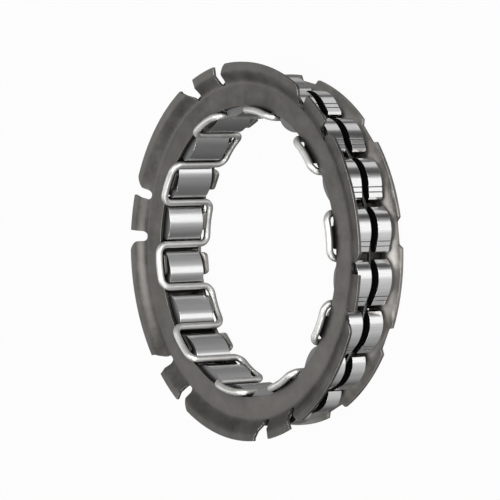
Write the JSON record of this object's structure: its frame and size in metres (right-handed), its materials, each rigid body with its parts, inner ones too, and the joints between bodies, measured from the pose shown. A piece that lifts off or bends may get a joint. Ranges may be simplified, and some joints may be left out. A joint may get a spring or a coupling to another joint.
{
  "type": "sprag clutch",
  "caption": "Bare sprag clutch ring: ground steel sprags held between two stamped tabbed rings by a zigzag retaining wire and a garter spring",
  "frame": {"origin": "centre of the ring on its axis, halfway along the sprags and midway between the outermost wire loops", "axes": "+Z along the ring's axis toward the front ring (wide flange), +X and +Y in the plane of the ring; angles count anticlockwise from +X seen from +Z; the part lies flat on the rear wire loops"},
  "size_m": [0.0604, 0.0604, 0.011],
  "materials": {
    "ring_sheet": "satin",
    "wire": "polished",
    "spring_wire": "satin",
    "sprag_steel": "ground"
  },
  "bodies": {
    "cage": {"front_ring": "ring_sheet", "rear_ring": "ring_sheet", "retaining_wire": "wire", "garter_spring": "spring_wire"},
    "sprag_01_body": {"sprag_01": "sprag_steel"},
    "sprag_02_body": {"sprag_02": "sprag_steel"},
    "sprag_03_body": {"sprag_03": "sprag_steel"},
    "sprag_04_body": {"sprag_04": "sprag_steel"},
    "sprag_05_body": {"sprag_05": "sprag_steel"},
    "sprag_06_body": {"sprag_06": "sprag_steel"},
    "sprag_07_body": {"sprag_07": "sprag_steel"},
    "sprag_08_body": {"sprag_08": "sprag_steel"},
    "sprag_09_body": {"sprag_09": "sprag_steel"},
    "sprag_10_body": {"sprag_10": "sprag_steel"},
    "sprag_11_body": {"sprag_11": "sprag_steel"},
    "sprag_12_body": {"sprag_12": "sprag_steel"},
    "sprag_13_body": {"sprag_13": "sprag_steel"},
    "sprag_14_body": {"sprag_14": "sprag_steel"},
    "sprag_15_body": {"sprag_15": "sprag_steel"},
    "sprag_16_body": {"sprag_16": "sprag_steel"},
    "sprag_17_body": {"sprag_17": "sprag_steel"},
    "sprag_18_body": {"sprag_18": "sprag_steel"},
    "sprag_19_body": {"sprag_19": "sprag_steel"},
    "sprag_20_body": {"sprag_20": "sprag_steel"}
  },
  "joints": [
    {"name": "rock_01", "type": "hinge", "parent": "cage", "child": "sprag_01_body", "pos_m": [0.02473, 0.00291, 0], "axis": [0, 0, 1], "range_deg": [-4, 4], "stiffness_Nm_per_rad": 0.002},
    {"name": "rock_02", "type": "hinge", "parent": "cage", "child": "sprag_02_body", "pos_m": [0.02262, 0.0104, 0], "axis": [0, 0, 1], "range_deg": [-4, 4], "stiffness_Nm_per_rad": 0.002},
    {"name": "rock_03", "type": "hinge", "parent": "cage", "child": "sprag_03_body", "pos_m": [0.0183, 0.01689, 0], "axis": [0, 0, 1], "range_deg": [-4, 4], "stiffness_Nm_per_rad": 0.002},
    {"name": "rock_04", "type": "hinge", "parent": "cage", "child": "sprag_04_body", "pos_m": [0.01219, 0.02171, 0], "axis": [0, 0, 1], "range_deg": [-4, 4], "stiffness_Nm_per_rad": 0.002},
    {"name": "rock_05", "type": "hinge", "parent": "cage", "child": "sprag_05_body", "pos_m": [0.00488, 0.02442, 0], "axis": [0, 0, 1], "range_deg": [-4, 4], "stiffness_Nm_per_rad": 0.002},
    {"name": "rock_06", "type": "hinge", "parent": "cage", "child": "sprag_06_body", "pos_m": [-0.00291, 0.02473, 0], "axis": [0, 0, 1], "range_deg": [-4, 4], "stiffness_Nm_per_rad": 0.002},
    {"name": "rock_07", "type": "hinge", "parent": "cage", "child": "sprag_07_body", "pos_m": [-0.0104, 0.02262, 0], "axis": [0, 0, 1], "range_deg": [-4, 4], "stiffness_Nm_per_rad": 0.002},
    {"name": "rock_08", "type": "hinge", "parent": "cage", "child": "sprag_08_body", "pos_m": [-0.01689, 0.0183, 0], "axis": [0, 0, 1], "range_deg": [-4, 4], "stiffness_Nm_per_rad": 0.002},
    {"name": "rock_09", "type": "hinge", "parent": "cage", "child": "sprag_09_body", "pos_m": [-0.02171, 0.01219, 0], "axis": [0, 0, 1], "range_deg": [-4, 4], "stiffness_Nm_per_rad": 0.002},
    {"name": "rock_10", "type": "hinge", "parent": "cage", "child": "sprag_10_body", "pos_m": [-0.02442, 0.00488, 0], "axis": [0, 0, 1], "range_deg": [-4, 4], "stiffness_Nm_per_rad": 0.002},
    {"name": "rock_11", "type": "hinge", "parent": "cage", "child": "sprag_11_body", "pos_m": [-0.02473, -0.00291, 0], "axis": [0, 0, 1], "range_deg": [-4, 4], "stiffness_Nm_per_rad": 0.002},
    {"name": "rock_12", "type": "hinge", "parent": "cage", "child": "sprag_12_body", "pos_m": [-0.02262, -0.0104, 0], "axis": [0, 0, 1], "range_deg": [-4, 4], "stiffness_Nm_per_rad": 0.002},
    {"name": "rock_13", "type": "hinge", "parent": "cage", "child": "sprag_13_body", "pos_m": [-0.0183, -0.01689, 0], "axis": [0, 0, 1], "range_deg": [-4, 4], "stiffness_Nm_per_rad": 0.002},
    {"name": "rock_14", "type": "hinge", "parent": "cage", "child": "sprag_14_body", "pos_m": [-0.01219, -0.02171, 0], "axis": [0, 0, 1], "range_deg": [-4, 4], "stiffness_Nm_per_rad": 0.002},
    {"name": "rock_15", "type": "hinge", "parent": "cage", "child": "sprag_15_body", "pos_m": [-0.00488, -0.02442, 0], "axis": [0, 0, 1], "range_deg": [-4, 4], "stiffness_Nm_per_rad": 0.002},
    {"name": "rock_16", "type": "hinge", "parent": "cage", "child": "sprag_16_body", "pos_m": [0.00291, -0.02473, 0], "axis": [0, 0, 1], "range_deg": [-4, 4], "stiffness_Nm_per_rad": 0.002},
    {"name": "rock_17", "type": "hinge", "parent": "cage", "child": "sprag_17_body", "pos_m": [0.0104, -0.02262, 0], "axis": [0, 0, 1], "range_deg": [-4, 4], "stiffness_Nm_per_rad": 0.002},
    {"name": "rock_18", "type": "hinge", "parent": "cage", "child": "sprag_18_body", "pos_m": [0.01689, -0.0183, 0], "axis": [0, 0, 1], "range_deg": [-4, 4], "stiffness_Nm_per_rad": 0.002},
    {"name": "rock_19", "type": "hinge", "parent": "cage", "child": "sprag_19_body", "pos_m": [0.02171, -0.01219, 0], "axis": [0, 0, 1], "range_deg": [-4, 4], "stiffness_Nm_per_rad": 0.002},
    {"name": "rock_20", "type": "hinge", "parent": "cage", "child": "sprag_20_body", "pos_m": [0.02442, -0.00488, 0], "axis": [0, 0, 1], "range_deg": [-4, 4], "stiffness_Nm_per_rad": 0.002}
  ]
}
